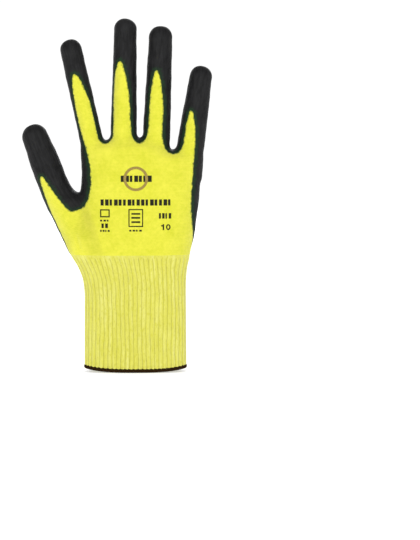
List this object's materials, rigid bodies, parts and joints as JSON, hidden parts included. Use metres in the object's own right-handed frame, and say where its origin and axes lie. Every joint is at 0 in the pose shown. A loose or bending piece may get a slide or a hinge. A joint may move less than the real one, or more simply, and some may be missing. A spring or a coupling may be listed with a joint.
{
  "type": "cut resistant glove",
  "caption": "Right-hand knitted cut resistant work glove: coated palm, finger sides and fingertips, bare knit back, ribbed cuff and overlocked hem, with stalls that bend at the knuckles.",
  "frame": {"origin": "centre of the wrist opening, level with the end of the hem", "axes": "+Z from the wrist opening to the fingertips, -Y out of the back of the hand, +Y out of the palm, -X towards the thumb's side"},
  "size_m": [0.1426, 0.0315, 0.2659],
  "materials": {
    "yellow_knit": "fine knit, matt",
    "black_coating": "thin matt dip over knit",
    "pale_rib_knit": "ribbed knit, matt",
    "brown_hem_thread": "overlock thread, matt",
    "elastic_yarn": "covered elastic yarn"
  },
  "bodies": {
    "hand": {"palm_liner": "yellow_knit", "palm_coating": "black_coating", "cuff": "pale_rib_knit", "cuff_elastic": "elastic_yarn", "cuff_hem": "brown_hem_thread"},
    "index_base": {"index_base_stall": "yellow_knit", "index_base_coating": "black_coating"},
    "index_mid": {"index_mid_stall": "yellow_knit", "index_mid_coating": "black_coating"},
    "index_tip": {"index_tip_stall": "yellow_knit", "index_tip_coating": "black_coating"},
    "middle_base": {"middle_base_stall": "yellow_knit", "middle_base_coating": "black_coating"},
    "middle_mid": {"middle_mid_stall": "yellow_knit", "middle_mid_coating": "black_coating"},
    "middle_tip": {"middle_tip_stall": "yellow_knit", "middle_tip_coating": "black_coating"},
    "ring_base": {"ring_base_stall": "yellow_knit", "ring_base_coating": "black_coating"},
    "ring_mid": {"ring_mid_stall": "yellow_knit", "ring_mid_coating": "black_coating"},
    "ring_tip": {"ring_tip_stall": "yellow_knit", "ring_tip_coating": "black_coating"},
    "little_base": {"little_base_stall": "yellow_knit", "little_base_coating": "black_coating"},
    "little_mid": {"little_mid_stall": "yellow_knit", "little_mid_coating": "black_coating"},
    "little_tip": {"little_tip_stall": "yellow_knit", "little_tip_coating": "black_coating"},
    "thumb_base": {"thumb_base_stall": "yellow_knit", "thumb_base_coating": "black_coating"},
    "thumb_tip": {"thumb_tip_stall": "yellow_knit", "thumb_tip_coating": "black_coating"}
  },
  "joints": [
    {"name": "index_root_knuckle", "type": "hinge", "parent": "hand", "child": "index_base", "pos_m": [-0.0344, 0.00335, 0.182], "axis": [-0.9755, 0, -0.2198], "range_deg": [0, 70], "stiffness_Nm_per_rad": 0.006},
    {"name": "index_middle_knuckle", "type": "hinge", "parent": "index_base", "child": "index_mid", "pos_m": [-0.03913, 0.00332, 0.20297], "axis": [-0.9755, 0, -0.2198], "range_deg": [0, 85], "stiffness_Nm_per_rad": 0.006},
    {"name": "index_end_knuckle", "type": "hinge", "parent": "index_mid", "child": "index_tip", "pos_m": [-0.04407, 0.00325, 0.22492], "axis": [-0.9755, 0, -0.2198], "range_deg": [0, 42.5], "stiffness_Nm_per_rad": 0.006},
    {"name": "middle_root_knuckle", "type": "hinge", "parent": "hand", "child": "middle_base", "pos_m": [-0.0085, 0.00389, 0.1845], "axis": [-0.9998, 0, 0.0175], "range_deg": [0, 70], "stiffness_Nm_per_rad": 0.006},
    {"name": "middle_middle_knuckle", "type": "hinge", "parent": "middle_base", "child": "middle_mid", "pos_m": [-0.00808, 0.00373, 0.2085], "axis": [-0.9998, 0, 0.0175], "range_deg": [0, 85], "stiffness_Nm_per_rad": 0.006},
    {"name": "middle_end_knuckle", "type": "hinge", "parent": "middle_mid", "child": "middle_tip", "pos_m": [-0.0076, 0.0035, 0.23599], "axis": [-0.9998, 0, 0.0175], "range_deg": [0, 42.5], "stiffness_Nm_per_rad": 0.006},
    {"name": "ring_root_knuckle", "type": "hinge", "parent": "hand", "child": "ring_base", "pos_m": [0.0163, 0.00406, 0.184], "axis": [-0.999, 0, 0.0436], "range_deg": [0, 70], "stiffness_Nm_per_rad": 0.006},
    {"name": "ring_middle_knuckle", "type": "hinge", "parent": "ring_base", "child": "ring_mid", "pos_m": [0.01728, 0.00386, 0.20648], "axis": [-0.999, 0, 0.0436], "range_deg": [0, 85], "stiffness_Nm_per_rad": 0.006},
    {"name": "ring_end_knuckle", "type": "hinge", "parent": "ring_mid", "child": "ring_tip", "pos_m": [0.01839, 0.00366, 0.23195], "axis": [-0.999, 0, 0.0436], "range_deg": [0, 42.5], "stiffness_Nm_per_rad": 0.006},
    {"name": "little_root_knuckle", "type": "hinge", "parent": "hand", "child": "little_base", "pos_m": [0.0423, 0.00406, 0.1744], "axis": [-0.9893, 0, 0.1461], "range_deg": [0, 70], "stiffness_Nm_per_rad": 0.006},
    {"name": "little_middle_knuckle", "type": "hinge", "parent": "little_base", "child": "little_mid", "pos_m": [0.04486, 0.00385, 0.19171], "axis": [-0.9893, 0, 0.1461], "range_deg": [0, 85], "stiffness_Nm_per_rad": 0.006},
    {"name": "little_end_knuckle", "type": "hinge", "parent": "little_mid", "child": "little_tip", "pos_m": [0.04741, 0.00354, 0.20902], "axis": [-0.9893, 0, 0.1461], "range_deg": [0, 42.5], "stiffness_Nm_per_rad": 0.006},
    {"name": "thumb_root_knuckle", "type": "hinge", "parent": "hand", "child": "thumb_base", "pos_m": [-0.06075, 0.00448, 0.1395], "axis": [-0.9342, 0, -0.3567], "range_deg": [0, 45], "stiffness_Nm_per_rad": 0.006},
    {"name": "thumb_end_knuckle", "type": "hinge", "parent": "thumb_base", "child": "thumb_tip", "pos_m": [-0.06788, 0.00444, 0.15818], "axis": [-0.9342, 0, -0.3567], "range_deg": [0, 60], "stiffness_Nm_per_rad": 0.006}
  ],
  "couplings": [
    {"joint": "index_end_knuckle", "follows": "index_middle_knuckle", "ratio": 0.5},
    {"joint": "middle_end_knuckle", "follows": "middle_middle_knuckle", "ratio": 0.5},
    {"joint": "ring_end_knuckle", "follows": "ring_middle_knuckle", "ratio": 0.5},
    {"joint": "little_end_knuckle", "follows": "little_middle_knuckle", "ratio": 0.5}
  ]
}
